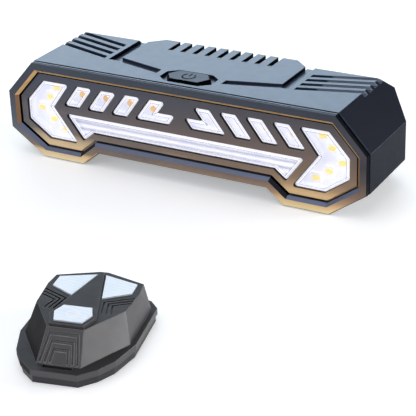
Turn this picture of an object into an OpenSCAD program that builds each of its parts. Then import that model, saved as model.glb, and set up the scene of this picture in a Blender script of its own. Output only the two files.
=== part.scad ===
// Bicycle turn signal lamp and its wireless handlebar remote, standing on z = 0.
// Millimetres. +Z is up, and the lamp shines towards -Y.
// Each outline runs counterclockwise, seen from the front of the lamp or from above the remote.

/* [Lamp body] */
// Width of the lamp body
body_w = 120; // [114:1:130]
// Height of the flat top above the feet
body_h = 30.8; // [30:0.2:34]
// Depth from the bezel face to the rear face
body_d = 34; // [33.5:0.5:40]
// Half width of the flat top
top_half = 50.4; // [48:0.1:52]
// Height where the upright sides meet the sloping shoulders
shoulder_z = 20.1; // [18:0.1:22]
// Height where the upright sides start
side_z = 8.1; // [7:0.1:10]
// Half spacing of the feet's outer edges
foot_out = 48.4; // [46:0.1:50]
// Half spacing of the feet's inner edges
foot_in = 34; // [32:0.1:36]
// Half width of the raised belly
belly_half = 28.5; // [27:0.1:30]
// Height of the belly above the feet
belly_z = 4.5; // [3.6:0.1:4.8]
// Wall of the body
wall = 2; // [1.6:0.1:2.2]
// Thickness of the roof under the top grooves
roof = 3.2; // [2.8:0.1:3.6]
// Chamfer of the upright rear corners
corner_cut = 6.5; // [4:0.5:8]
// Depth of the chamfer along the top rear edge
brow_depth = 4; // [2:0.5:5]
// Drop of the chamfer along the top rear edge
brow_drop = 3.7; // [2:0.1:4]

/* [Top grooves] */
// Half width of the raised plateau between the side channels
plateau_half = 27; // [24:0.5:28]
// Width of each side channel
channel_w = 3.2; // [2:0.1:4]
// Depth of each side channel
channel_depth = 1.15; // [1:0.05:2]
// Front end of the side channels
channel_y = 12; // [10:0.5:14]
// Depth of the two grooves in front of the plateau
brow_groove_depth = 0.9; // [0.8:0.05:1.5]
// Width of the two grooves in front of the plateau
brow_groove_w = 3.1; // [2:0.1:3.4]
// Inner end of the grooves in front of the plateau
brow_groove_x = 10.8; // [10.5:0.1:14]
// Number of slots at each end of the top
end_slots = 4; // [2:1:4]
// Width of an end slot
end_slot_w = 1.95; // [1.2:0.05:2.4]
// Spacing of the end slots
end_slot_pitch = 3.6; // [3:0.1:3.8]
// Depth of the end slots
end_slot_depth = 1; // [0.8:0.1:1.8]
// Inner end of the end slots
end_slot_x = 31.8; // [31.4:0.1:36]
// Middle of the first end slot at its inner end
end_slot_y = 13.2; // [12:0.1:15]
// Sweep of the end slots towards the rear, per unit of width
end_slot_sweep = 0.28; // [0:0.01:0.4]
// Number of slots along the rear of the plateau
rear_slots = 9; // [5:1:9]
// Spacing of the rear slots
rear_slot_pitch = 4.24; // [3:0.02:4.4]
// Width of a rear slot
rear_slot_w = 1.6; // [1:0.1:2.2]
// Depth of a rear slot at the rear edge
rear_slot_depth = 2.1; // [1:0.1:2.4]
// Front tip of the rear slots
rear_slot_y = 26.2; // [24:0.2:28]

/* [Front] */
// Step from the body outline in to the bezel outline
bezel_step = 0.15; // [0.1:0.05:0.4]
// Distance from the bezel face back to the body
body_front = 2; // [1.6:0.05:2.05]
// Width of the seam that shows between the bezel and the body
seam_w = 0.45; // [0.3:0.05:0.6]
// Width of the bezel's face, with the chamfer outside it
bezel_face = 2.2; // [1.6:0.1:2.3]
// Chamfer round the outside of the bezel's face
rim_chamfer = 0.25; // [0.15:0.05:0.4]
// Width and depth of the fine line round the bezel's rim
rim_line = 0.45; // [0.15:0.05:0.5]
// Width of the bevel inside the bezel
bevel_w = 0.9; // [0.8:0.05:1.3]
// Depth of the bevel inside the bezel
bevel_depth = 1; // [1:0.1:1.4]
// Depth of the bezel's spigot inside the body
spigot_depth = 2.6; // [2.4:0.1:3]
// Gap between the bezel and the face panel
panel_gap = 0.55; // [0.3:0.05:0.6]
// Front of the face panel behind the bezel face
panel_y = 1.4; // [1.4:0.1:1.7]
// Thickness of the face panel between its front and its flange
panel_t = 1.3; // [1:0.1:1.6]
// Thickness of the face panel's flange
flange_t = 0.8; // [0.6:0.1:1]
// Distance from the body outline in to the windows
window_margin = 5.95; // [5.8:0.05:6.6]
// Distance from the belly up to the long window
bar_margin = 5.7; // [5.4:0.1:6]
// Top of the long window
bar_top_z = 15.35; // [14.4:0.05:15.5]
// Bottom of the slanted windows
seq_z = 17.6; // [17.5:0.05:19]
// Most slanted windows on each side, as far as there is room for them beside the hook window
seq_count = 3; // [1:1:3]
// Width of a slanted window
seq_w = 5.75; // [4:0.05:5.8]
// Gap between neighbouring windows, measured along X
window_gap = 2.7; // [2.7:0.1:4]
// Outer upper corner of the outermost slanted window, in from the side of the lamp
first_x = 24.5; // [24.4:0.05:25.4]
// Slant of the windows, sideways per unit of height
slant = 0.747; // [0.6:0.001:0.8]
// Radius of the windows' corners
window_round = 0.65; // [0.3:0.05:1]
// Height of the arrow window's inner corner
notch_z = 16.85; // [15:0.05:18]
// Upper edge of the hook window's foot
hook_z = 21.1; // [20.2:0.1:21.3]
// Inner upper end of the hook window's foot
hook_tip_x = 1.25; // [1.2:0.05:2.4]
// Inner lower end of the hook window's foot
hook_toe_x = 3.85; // [3:0.05:4.5]
// Front of the lenses behind the panel's front
lens_set = 0.2; // [0.2:0.1:1]
// Width of the lens flange round each window
lens_flange = 0.8; // [0.5:0.1:1]
// Thickness of the lens flange
lens_t = 0.8; // [0.6:0.1:1.2]
// Depth of the bevel round the front of each lens
lens_bevel = 0.6; // [0.2:0.1:0.6]
// Width of the bevel round the front of each lens
lens_border = 1; // [0.5:0.1:1.1]
// Thickness of the reflector
reflector_t = 1.8; // [1.4:0.1:2.4]

/* [Light board] */
// Thickness of the light board
board_t = 1.2; // [0.8:0.1:1.6]
// Side of a turn or brake light package
led_w = 3; // [2:0.1:3]
// Side of a light package behind a slanted window
seq_led_w = 1.9; // [1.2:0.1:2]
// Height of a light package
led_h = 0.7; // [0.5:0.05:0.8]
// Number of brake lights
brake_leds = 11; // [5:2:13]
// Spacing of the brake lights
brake_pitch = 5.6; // [4:0.1:5.8]
// Radius of a screw post on the face panel
post_r = 1.3; // [1.1:0.1:1.3]
// Radius of a board screw
board_screw_r = 0.7; // [0.5:0.05:0.8]

/* [Power button] */
// Length of the button cap
button_w = 14.6; // [13:0.2:15.4]
// Length of the straight sides of the button cap
button_flat = 9.8; // [8:0.2:10.4]
// Depth of the button cap
button_d = 7.8; // [7:0.2:8]
// Middle of the button cap behind the bezel face
button_y = 8.1; // [8:0.1:8.4]
// Height of the button cap above the top
button_rise = 0.5; // [0.3:0.1:1]
// Bevel round the top of the button cap
button_bevel = 0.6; // [0.3:0.1:0.8]
// Travel of the button
button_travel = 0.6; // [0.3:0.1:0.7]
// Width of the sunk ledge round the button
ledge_w = 0.8; // [0.5:0.1:1]
// Depth of the sunk ledge round the button
ledge_depth = 1; // [0.6:0.1:1.2]

/* [Battery] */
// Diameter of the lithium cell
cell_d = 14.1; // [13:0.1:14.4]
// Length of the lithium cell
cell_l = 50; // [46:1:50]
// Middle of the cell behind the bezel face
cell_y = 19.6; // [19.6:0.1:20]
// Middle of the cell above the feet
cell_z = 17.6; // [17.4:0.1:18]

/* [Rear cover] */
// Half width of the rear cover
cover_half = 50; // [46:0.5:51]
// Lower edge of the rear cover
cover_z = 5.9; // [5.7:0.1:6.4]
// Height of the rear cover
cover_h = 19.2; // [18.6:0.1:20]
// Corner chamfer of the rear cover
cover_cut = 4; // [2:0.5:5]
// Thickness of the rear cover
cover_t = 2; // [1.8:0.1:2.4]
// Thickness of the rear seal
seal_t = 0.5; // [0.4:0.1:0.8]
// Radius of a rear cover screw
cover_screw_r = 1.2; // [1:0.1:1.3]
// Spacing of the two mounting inserts
mount_spacing = 50; // [40:1:54]
// Radius of the hole in a mounting insert
insert_bore_r = 2.1; // [2:0.05:2.4]
// Outer radius of a mounting insert
insert_r = 3.2; // [3:0.1:3.5]
// Length of a mounting insert
insert_l = 6.4; // [5:0.1:6.5]
// Height of the mounting inserts above the feet
insert_z = 17; // [15:0.5:19]
// Width of the charging flap
flap_w = 13; // [12.6:0.2:16]
// Height of the charging flap
flap_h = 7; // [6.8:0.2:7.6]

/* [Remote] */
// Place of the remote's middle, to the right of the lamp's middle
remote_x = 23.4; // [-30:0.1:30]
// Place of the remote's middle in front of the bezel face
remote_gap = 86.2; // [60:0.2:120]
// Turn of the remote on the surface
remote_turn = 13; // [-45:1:45]
// Length of the remote
remote_l = 39.6; // [39.2:0.1:42]
// Width of the remote
remote_w = 29.4; // [29:0.1:33]
// Thickness of the remote's base
base_t = 2; // [1.8:0.1:2.4]
// Thickness of the brim
brim_t = 1.6; // [1.2:0.1:2]
// Height of the remote's deck above the surface
deck_z = 10.2; // [10:0.1:12]
// Rise of the middle blade above the deck
blade_rise = 0.6; // [0.3:0.1:1]
// Wall of the remote's dome
dome_wall = 1; // [0.8:0.1:1.2]
// Thickness of the remote's deck
deck_t = 1.5; // [1.2:0.1:1.6]
// Rise of the keys above the surface round them
key_rise = 0.3; // [0.1:0.1:0.6]
// Travel of the keys
key_travel = 0.35; // [0.2:0.05:0.4]
// Width of the strap slot in the brim
strap_w = 7.4; // [5:0.2:8]
// Opening of the strap slot in the brim
strap_t = 1.2; // [1:0.1:1.3]
// Diameter of the coin cell
coin_d = 20; // [18:0.5:20]
// Thickness of the coin cell
coin_t = 3.2; // [2.5:0.1:3.2]
// Middle of the coin cell along the remote
coin_y = 1.4; // [0:0.2:2]
// Number of ribs in each set of grip grooves
groove_count = 3; // [1:1:3]
// Spacing of the grip grooves
groove_pitch = 1.25; // [1:0.05:1.4]
// Width of a grip groove
groove_w = 0.55; // [0.3:0.05:0.7]
// Depth of a grip groove
groove_depth = 0.4; // [0.2:0.05:0.5]

/* [Fits] */
// Clearance between fixed pieces that fit each other
fit = 0.1; // [0.05:0.05:0.2]
// Clearance round a moving piece
slip = 0.15; // [0.1:0.05:0.25]
// Radial clearance of a pressed or threaded round piece
press = 0.02; // [0.01:0.01:0.05]

/* [Hidden] */
$fn = 48;
eps = 0.01;
through = 60;
round_steps = 3;
body_half = body_w / 2;

// Outline geometry
function unit(v) = v / norm(v);
function mirrored(half) =
    concat(half, [for (i = [len(half) - 1:-1:0]) [-half[i][0], half[i][1]]]);
// An outline moved in by d, or out where d is negative, with mitred corners
function inset(pts, d) = [
    for (i = [0:len(pts) - 1])
        let (
            n = len(pts),
            a = unit(pts[i] - pts[(i + n - 1) % n]),
            b = unit(pts[(i + 1) % n] - pts[i]),
            na = [-a[1], a[0]],
            nb = [-b[1], b[0]]
        )
        pts[i] + d * (na + nb) / (1 + na * nb)
];
// An outline with its outward corners rounded to radius r
function rounded(pts, r) = [
    for (i = [0:len(pts) - 1])
        let (
            n = len(pts),
            a = unit(pts[i] - pts[(i + n - 1) % n]),
            b = unit(pts[(i + 1) % n] - pts[i]),
            na = [-a[1], a[0]],
            turn = acos(a * b),
            centre = pts[i] + r * (na - tan(turn / 2) * a)
        )
        each a[0] * b[1] < a[1] * b[0] ? [pts[i]]
        : [for (k = [0:round_steps]) let (t = turn * k / round_steps) centre + r * (sin(t) * a - cos(t) * na)]
];
// An open line widened into a strip of width w
function strip(pts, w) =
    let (
        last = len(pts) - 1,
        dirs = [for (i = [0:last - 1]) unit(pts[i + 1] - pts[i])],
        normal = function (i) [-dirs[i][1], dirs[i][0]],
        side = function (i)
            i == 0 ? normal(0)
            : i == last ? normal(last - 1)
            : (normal(i - 1) + normal(i)) / (1 + normal(i - 1) * normal(i))
    )
    concat(
        [for (i = [0:last]) pts[i] - side(i) * w / 2],
        [for (i = [last:-1:0]) pts[i] + side(i) * w / 2]
    );
// An elongated octagon of size w by d, with corners cut by cx and cy
function octagon(w, d, cx, cy) =
    let (x = w / 2, y = d / 2)
    mirrored([[x - cx, -y], [x, -y + cy], [x, y - cy], [x - cx, y]]);
function moved(pts, v) = [for (p = pts) p + v];

// Lamp outlines, x across and z up
body_outline = mirrored([
    [belly_half, belly_z], [foot_in, 0], [foot_out, 0],
    [body_half, side_z], [body_half, shoulder_z], [top_half, body_h]
]);
bezel_outline = inset(body_outline, bezel_step);
bezel_hole_front = inset(bezel_outline, bezel_face);
bezel_hole = inset(bezel_hole_front, bevel_w);
panel_outline = inset(bezel_hole, panel_gap);
core_outline = inset(body_outline, wall + 2 * fit);
window_in = inset(body_outline, window_margin);
window_top = body_h - window_margin;
seq_h = window_top - seq_z;
window_pitch = seq_w + window_gap;
first_window_x = body_half - first_x;
arrow_top_x = first_window_x + window_gap;
arrow_notch_x = arrow_top_x + slant * (window_top - notch_z);
arrow_window = [
    [arrow_notch_x - slant * (notch_z - window_margin), window_margin],
    window_in[2], window_in[3], window_in[4], window_in[5],
    [arrow_top_x, window_top], [arrow_notch_x, notch_z]
];
function seq_window(k) =
    let (x = first_window_x - k * window_pitch, s = slant * seq_h)
    [[x - seq_w + s, seq_z], [x + s, seq_z], [x, window_top], [x - seq_w, window_top]];
seq_used = min(seq_count, floor((first_window_x - seq_w - window_gap / 2) / window_pitch));
hook_x = first_window_x - seq_used * window_pitch;
hook_window = [
    [hook_tip_x, hook_z], [hook_toe_x, seq_z], [hook_x + slant * seq_h, seq_z], [hook_x, window_top],
    [hook_x - seq_w, window_top], [hook_x - seq_w + slant * (window_top - hook_z), hook_z]
];
bar_corner = inset(body_outline, bar_margin)[0];
bar_end = arrow_notch_x - window_gap - slant * notch_z;
belly_dir = unit(body_outline[1] - body_outline[0]);
bar_run = (bar_end + slant * bar_corner[1] - bar_corner[0]) / (belly_dir[0] - slant * belly_dir[1]);
bar_window = mirrored([
    bar_corner, bar_corner + bar_run * belly_dir, [bar_end + slant * bar_top_z, bar_top_z]
]);

// Lamp layers, measured back from the bezel face
flange_y = panel_y + panel_t;
lens_y = flange_y + flange_t;
reflector_y = lens_y + lens_t;
board_y = reflector_y + reflector_t;
board_back = board_y + board_t;
screw_head_r = 1.5;
screw_head_t = 1;
roof_y = board_back + screw_head_t + 0.3;
cavity_top = body_h - roof;
floor_z = belly_z + wall;
cover_y = body_d - cover_t;
seal_y = cover_y - seal_t;
ledge_y = seal_y - 1.1;
cell_r = cell_d / 2;

// Round the button
button_cut_x = (button_w - button_flat) / 2;
button_cut_y = button_d / 2 - eps;
ledge_outline = octagon(button_w + 2 * ledge_w + 1, button_d + 2 * ledge_w, 3.1, 2.5);
cap_outline = octagon(button_w, button_d, button_cut_x, button_cut_y);
button_flange = inset(cap_outline, -0.35);
collar_in = octagon(button_w + 3, button_d + 1.4, 3.1, 2.5);
roof_under = body_h - wall;
collar_bottom = roof_under - 2.6;
collar_wall = 0.7;
button_notch = button_w / 2 + 1.5 + collar_wall + 2 * fit;
notch_floor = collar_bottom - 0.5;
button_flange_t = 0.9;
flange_top = roof_under - fit;
flange_bottom = flange_top - button_flange_t;
seal_top = flange_bottom - button_travel - fit;
button_seal_t = 0.5;
stem_r = 1.5;
switch_top = notch_floor - 0.7;
plunger_top = switch_top + button_travel + 0.8;
plunger_r = 1;
switch_w = 6;
switch_d = 3.4;
switch_h = 4.4;
stem_y = board_back + switch_d / 2;

// Parts behind the light board
chip_x = 8;
chip_z = 12.5;
chip_w = 7;
chip_t = 1.2;
radio_x = -30;
radio_z = 10;
radio_w = 14;
radio_h = 10.5;
radio_t = 0.9;
shield_inset = 1.5;
antenna_w = 3.5;
shield_gap = 2;
shield_t = 2.6;
driver_x = 33;
driver_z = 13;
driver_w = 5;
driver_h = 4;
driver_t = 1.5;
coil_gap = 2.5;
coil_w = 3;

// Board fixings
post_l = 2;
posts = [
    [20, body_h - 3.7], [18, belly_z + wall + post_r + 0.25], [41.5, wall + post_r + 0.45]
];

// Rear fixings
cover_outline = mirrored([
    [cover_half - cover_cut, cover_z], [cover_half, cover_z + cover_cut],
    [cover_half, cover_z + cover_h - cover_cut], [cover_half - cover_cut, cover_z + cover_h]
]);
rear_lip = 2.5;
boss_r = 2.6;
boss_inset = 4.85;
boss_l = 8;
cover_screws = [for (x = [-1, 1], z = [0, 1])
    [x * (cover_half - boss_inset), cover_z + (z ? cover_h - boss_inset : boss_inset)]];
cover_head_r = 2.1;
cover_head_t = 1.2;
insert_boss_r = insert_r + 1.3;

// Battery carrier
tray_t = 1.2;
cell_seat = 0.05;
tray_y = cell_y - cell_r - cell_seat - tray_t;
saddle_x = 14;
saddle_w = 3;
saddle_z = 9.6;
pad_half = 12;
pad_h = 3;
contact_r = 3.2;
contact_half = 5;
contact_t = 0.5;
tray_half = belly_half - 0.1;
end_wall = 1.5;
tray_end = tray_half - end_wall;
lead_r = 0.6;
lead_x = tray_end - contact_t - fit - lead_r;
lead_z = cell_z + 4.4;

// Charging socket and flap
charge_w = 22;
charge_l = 10.2;
charge_y = cover_y - 1.8 - charge_l;
charge_z = 8.4;
charge_t = 1;
usb_w = 8.94;
usb_h = 3.26;
usb_l = 7.35;
usb_z = charge_z + charge_t + usb_h / 2;
usb_front = cover_y + 0.6;
flap_t = 0.9;
barrel_r = 0.45;
flap_axis_y = body_d - fit / 2 - barrel_r;
flap_axis_z = usb_z + flap_h / 2 - barrel_r;
flap_pocket = 1.1;

// Remote outlines, x across and y along it
remote_half = remote_w / 2;
remote_top = 18.9;
remote_tail = remote_top - remote_l;
brim_outline = mirrored([
    [5.8, remote_tail], [remote_half - 5, remote_tail + 3.5], [remote_half - 2.3, remote_tail + 7.8],
    [remote_half, remote_tail + 15.9], [remote_half - 0.3, 12.6], [remote_half - 2.8, 15.6],
    [1.9, remote_top]
]);
base_outline = inset(brim_outline, 0.5);
dome_foot = mirrored([
    [5.5, remote_tail + 3.2], [remote_half - 1.4, remote_tail + 15.5], [remote_half - 1.4, 11.4],
    [remote_half - 3.2, 15.1], [1.8, remote_top - 0.4]
]);
deck_outline = mirrored([[4.6, -11.6], [11.3, -1.2], [11.9, 7.8], [11.4, 12.2], [1.1, 15.9]]);
blade_outline = mirrored([[4.3, -11], [5.9, -6.5], [0.4, 14.8]]);
key_window = [[3.9, 3], [10.2, 6.7], [10.1, 11.2], [1.1, 14]];
mode_window = mirrored([[3.5, -9.9], [4.8, -6.1], [3.6, -2.9]]);
side_groove = [[6.1, -3.6], [4.9, 1.7], [11.5, 5.1]];
tail_groove = [[-4.7, -17.2], [-3.5, -12.6], [3.5, -12.6], [4.7, -17.2]];
strap_y = remote_tail + 1.7;
brim_z = base_t + brim_t;
roof_z = deck_z - deck_t;
key_flange = 0.35;
key_flange_t = 0.5;
key_cap_z = roof_z - fit;
stem_end = 7.7;
plunger_reach = 0.5;
remote_board_z = 4.75;
remote_board_t = 0.8;
remote_board_top = remote_board_z + remote_board_t;
remote_switch_h = 1.65;
remote_switch_w = 3;
coin_z = 1.4;
door_r = coin_d / 2 + 1.5;
door_z = 0.15;
door_t = 0.95;
door_seat = 1.5;
remote_board_outline = mirrored([
    [4.6, remote_tail + 7.7], [remote_half - 3.6, remote_tail + 18.2], [remote_half - 3.4, remote_top - 10.9],
    [remote_half - 4, remote_top - 6.9], [1.5, remote_top - 3.7]
]);
key_spots = [[6.3, 8.9], [-6.3, 8.9], [0, -6.4]];
remote_posts = [[10.4, 11.6], [-10.4, 11.6], [6.1, -13.1], [-6.1, -13.1]];
remote_post_r = 1.3;
remote_screw_r = 0.6;
remote_head_r = 1.1;
remote_head_t = 0.7;

// The set is centred on its own box, so the lamp and remote move back together
function turned(p) = [
    p[0] * cos(remote_turn) - p[1] * sin(remote_turn), p[0] * sin(remote_turn) + p[1] * cos(remote_turn)
];
set_front = -remote_gap + min([for (p = brim_outline) turned(p)[1]]);
lamp_y = -(set_front + body_d) / 2;
remote_at = [remote_x, lamp_y - remote_gap, 0];

// Places a lamp piece, or a remote piece
module lamp() { translate([0, lamp_y, 0]) children(); }
module remote() { translate(remote_at) rotate([0, 0, remote_turn]) children(); }

// Solids from outlines
module slab(pts, y0, y1) {
    translate([0, y1, 0]) rotate([90, 0, 0]) linear_extrude(height = y1 - y0) polygon(pts);
}
module plate(pts, z0, z1) { translate([0, 0, z0]) linear_extrude(height = z1 - z0) polygon(pts); }
module beam(profile, x0, x1) {
    translate([x0, 0, 0]) rotate([90, 0, 90]) linear_extrude(height = x1 - x0) polygon(profile);
}
module block(low, high) { translate(low) cube(high - low); }
module rod_y(x, z, y0, y1, r) { translate([x, y1, z]) rotate([90, 0, 0]) cylinder(r = r, h = y1 - y0); }
module rod_z(p, z0, z1, r) { translate([p[0], p[1], z0]) cylinder(r = r, h = z1 - z0); }
// A solid between outline a at y0 and outline b at y1, with as many points each.
// A hollow corner comes last, so that both end faces fan out from it. A mirrored outline with a
// hollow corner first and last is split there, so that each part of its end faces is convex.
module loft(a, y0, b, y1, split = false) {
    n = len(a);
    half = n / 2;
    parts = !split ? [[for (i = [0:n - 1]) (i + n - 1) % n]]
        : [[for (i = [0:half - 1]) i], [0, half - 1, half, n - 1], [for (i = [half:n - 1]) i]];
    polyhedron(
        points = concat([for (p = a) [p[0], y0, p[1]]], [for (p = b) [p[0], y1, p[1]]]),
        faces = concat(
            [for (part = parts) [for (i = [len(part):-1:1]) part[i % len(part)]]],
            [for (part = parts) [for (i = part) n + i]],
            [for (i = [0:n - 1]) [i, (i + 1) % n, n + (i + 1) % n, n + i]]
        )
    );
}
module both_sides() {
    children();
    mirror([1, 0, 0]) children();
}

// Lamp housing
module housing_block() {
    plan = [
        [-body_half - eps, body_front], [body_half + eps, body_front], [body_half + eps, body_d - corner_cut],
        [body_half - corner_cut, body_d], [corner_cut - body_half, body_d],
        [-body_half - eps, body_d - corner_cut]
    ];
    intersection() {
        slab(body_outline, body_front, body_d);
        plate(plan, -1, body_h + 1);
    }
}
module housing_room() {
    inner = inset(body_outline, wall);
    plan = [
        [-body_half, 0], [body_half, 0], [body_half, body_d - corner_cut - wall * 1.5],
        [body_half - corner_cut - wall * 1.5 + body_d - ledge_y, ledge_y],
        [corner_cut + wall * 1.5 - body_half - body_d + ledge_y, ledge_y],
        [-body_half, body_d - corner_cut - wall * 1.5]
    ];
    slab(inner, body_front - 1, roof_y);
    intersection() {
        slab(inner, roof_y - eps, ledge_y);
        plate(plan, -1, cavity_top);
    }
}
module end_slot(k) {
    y = end_slot_y + k * end_slot_pitch;
    reach = body_half - end_slot_x;
    rise = end_slot_sweep * reach;
    plate(
        [
            [end_slot_x, y - end_slot_w / 2], [body_half, y - end_slot_w / 2 + rise],
            [body_half, y + end_slot_w / 2 + rise], [end_slot_x, y + end_slot_w / 2]
        ],
        body_h - end_slot_depth, body_h + 1
    );
}
module top_grooves() {
    channel_out = plateau_half + channel_w;
    groove_drop = (plateau_half - brow_groove_x) / 4;
    both_sides() {
        block([plateau_half, channel_y, body_h - channel_depth], [channel_out, body_d + 1, body_h + 1]);
        plate(
            [
                [brow_groove_x, brow_groove_x - brow_groove_w], [plateau_half, channel_y - 0.3],
                [plateau_half, channel_y + brow_groove_w - 0.3], [brow_groove_x, brow_groove_x]
            ],
            body_h - brow_groove_depth, body_h + 1
        );
        for (k = [0:end_slots - 1]) end_slot(k);
        beam(
            [
                [body_d - brow_depth, body_h], [body_d + 1, body_h - brow_drop * (1 + 1 / brow_depth)],
                [body_d + 1, body_h + 1], [body_d - brow_depth, body_h + 1]
            ],
            plateau_half, body_half + 1
        );
        plate(
            [
                [plateau_half - brow_depth - 0.4, body_d], [plateau_half + eps, body_d - brow_depth],
                [plateau_half + eps, body_d + 1], [plateau_half - brow_depth - 0.4, body_d + 1]
            ],
            body_h - brow_drop, body_h + 1
        );
    }
    for (k = [0:rear_slots - 1]) {
        x = (k - (rear_slots - 1) / 2) * rear_slot_pitch;
        run = body_d - rear_slot_y;
        beam(
            [
                [rear_slot_y, body_h], [body_d + 1, body_h - rear_slot_depth * (run + 1) / run],
                [body_d + 1, body_h + 1], [rear_slot_y, body_h + 1]
            ],
            x - rear_slot_w / 2, x + rear_slot_w / 2
        );
    }
}
module button_collar() {
    difference() {
        plate(moved(inset(collar_in, -collar_wall), [0, button_y]), collar_bottom, roof_under + eps);
        plate(moved(collar_in, [0, button_y]), collar_bottom - 1, roof_under + 1);
    }
}
module housing() {
    rail_x = 10;
    color("slategray") lamp() difference() {
        union() {
            difference() {
                housing_block();
                housing_room();
                plate(moved(collar_in, [0, button_y]), cavity_top - 1, roof_under);
                top_grooves();
                slab(inset(cover_outline, -fit), seal_y, body_d + 1);
                slab(inset(cover_outline, rear_lip), ledge_y - 1, body_d + 1);
            }
            button_collar();
            for (p = cover_screws) rod_y(p[0], p[1], ledge_y - boss_l, cover_y, boss_r);
            both_sides() {
                // Stops behind the light board
                block(
                    [body_half - wall - 3.4, board_back + fit, side_z + 2],
                    [body_half - wall + eps, board_back + 4, shoulder_z - 2]
                );
                // Rails that hold the foot of the battery tray
                block([rail_x, tray_y - 0.8, floor_z - eps], [2 * rail_x, tray_y - fit, floor_z + 1.6]);
                block(
                    [rail_x, tray_y + tray_t + fit, floor_z - eps],
                    [2 * rail_x, tray_y + tray_t + 0.8, floor_z + 1.6]
                );
                // Rails under the charging board
                block(
                    [charge_w / 2 - 2, charge_y, floor_z - eps],
                    [charge_w / 2 - 1, charge_y + charge_l, charge_z - fit / 2]
                );
            }
        }
        plate(moved(ledge_outline, [0, button_y]), body_h - ledge_depth, body_h + 1);
        plate(moved(inset(cap_outline, -slip), [0, button_y]), roof_under - 1, body_h + 1);
        for (p = cover_screws)
            rod_y(p[0], p[1], ledge_y - boss_l + 1, body_d, cover_screw_r + press);
    }
}

// Convex parts of a body outline, so that a bevelled opening is made from simple lofts
function middle_part(o) = concat([o[0]], [for (i = [3:8]) o[i]], [o[11]]);
function end_part(o) = concat([for (i = [0:5]) o[i]], [[o[0][0], o[5][1]]]);

// Bezel, its seal and the face panel
module front_bezel() {
    hole_ahead = inset(bezel_hole_front, -bevel_w / bevel_depth);
    face = inset(bezel_outline, rim_chamfer);
    line_y = 2 * rim_chamfer;
    color("dimgray") lamp() difference() {
        union() {
            loft(middle_part(face), 0, middle_part(bezel_outline), rim_chamfer);
            both_sides() loft(end_part(face), 0, end_part(bezel_outline), rim_chamfer);
            slab(bezel_outline, rim_chamfer, body_front - seam_w);
            slab(inset(body_outline, wall + fit), 2 * rim_chamfer, spigot_depth);
        }
        difference() {
            slab(inset(bezel_outline, -1), line_y, line_y + rim_line);
            slab(inset(bezel_outline, rim_line), line_y - 1, line_y + 1);
        }
        loft(middle_part(hole_ahead), -1, middle_part(bezel_hole), bevel_depth);
        both_sides() loft(end_part(hole_ahead), -1, end_part(bezel_hole), bevel_depth);
        slab(inset(bezel_hole, eps), 0, spigot_depth + 1);
    }
}
module front_seal() {
    color("black") lamp() difference() {
        slab(inset(bezel_outline, 0.5), body_front - seam_w, body_front);
        slab(inset(body_outline, wall), 0, body_front + 1);
    }
}
module notched(y0, y1) {
    difference() {
        children();
        block([-button_notch, y0 - 1, notch_floor], [button_notch, y1 + 1, body_h]);
    }
}
module opening(window) { slab(rounded(window, window_round), panel_y - 1, lens_y + 1); }
module all_windows() {
    both_sides() {
        opening(arrow_window);
        opening(hook_window);
        for (k = [0:seq_used - 1]) opening(seq_window(k));
    }
    opening(bar_window);
}
module face_panel() {
    color("saddlebrown") lamp() difference() {
        union() {
            slab(panel_outline, panel_y, flange_y + eps);
            notched(flange_y, lens_y) slab(core_outline, flange_y, lens_y);
            both_sides() for (p = posts) rod_y(p[0], p[1], lens_y - eps, lens_y + post_l, post_r);
        }
        all_windows();
        both_sides() for (p = posts) rod_y(p[0], p[1], flange_y, lens_y + post_l + 1, board_screw_r + press);
    }
}

// Lenses sit in the windows from behind, on flanges
module lens(window, split = false) {
    lens_front = panel_y + lens_set;
    boss = rounded(inset(window, fit), window_round);
    front = rounded(inset(window, fit + lens_border), window_round / 4);
    loft(front, lens_front, boss, lens_front + lens_bevel, split);
    slab(boss, lens_front + lens_bevel - eps, lens_y + eps);
    slab(inset(window, -lens_flange), lens_y, reflector_y);
}
module arrow_lens_right() { color("lavender") lamp() lens(arrow_window); }
module arrow_lens_left() { color("lavender") lamp() mirror([1, 0, 0]) lens(arrow_window); }
module sequence_lenses_right() {
    color("lavender") lamp() for (k = [0:seq_used - 1]) lens(seq_window(k));
}
module sequence_lenses_left() {
    color("lavender") lamp() mirror([1, 0, 0]) for (k = [0:seq_used - 1]) lens(seq_window(k));
}
module hook_lenses() {
    color("lavender") lamp() union() {
        both_sides() lens(hook_window);
        block([-hook_toe_x, lens_y, seq_z + 0.3], [hook_toe_x, reflector_y, hook_z - 0.3]);
    }
}
module bar_lens() { color("white") lamp() lens(bar_window, true); }
module bar_light_guide() {
    color("white") lamp() slab(inset(bar_window, 0.45), reflector_y + fit, board_y - led_h - fit);
}

// White reflector with a tapered cup behind each window
module cup(window, split = false) {
    loft(inset(window, -0.3), reflector_y - eps, inset(window, 0.5), board_y + eps, split);
}
module reflector() {
    color("white") lamp() difference() {
        notched(reflector_y, board_y) slab(core_outline, reflector_y, board_y);
        both_sides() {
            cup(arrow_window);
            cup(hook_window);
            for (k = [0:seq_used - 1]) cup(seq_window(k));
            for (p = posts) rod_y(p[0], p[1], reflector_y - 1, board_y + 1, post_r + fit);
        }
        cup(bar_window, true);
    }
}

// Light board and what is soldered to it
module light_board() {
    color("white") lamp() difference() {
        notched(board_y, board_back) slab(core_outline, board_y, board_back);
        both_sides() for (p = posts) rod_y(p[0], p[1], board_y - 1, board_back + 1, board_screw_r + fit);
    }
}
module led(x, z, w) {
    block([x - w / 2, board_y - led_h, z - w / 2], [x + w / 2, board_y, z + w / 2]);
}
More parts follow.
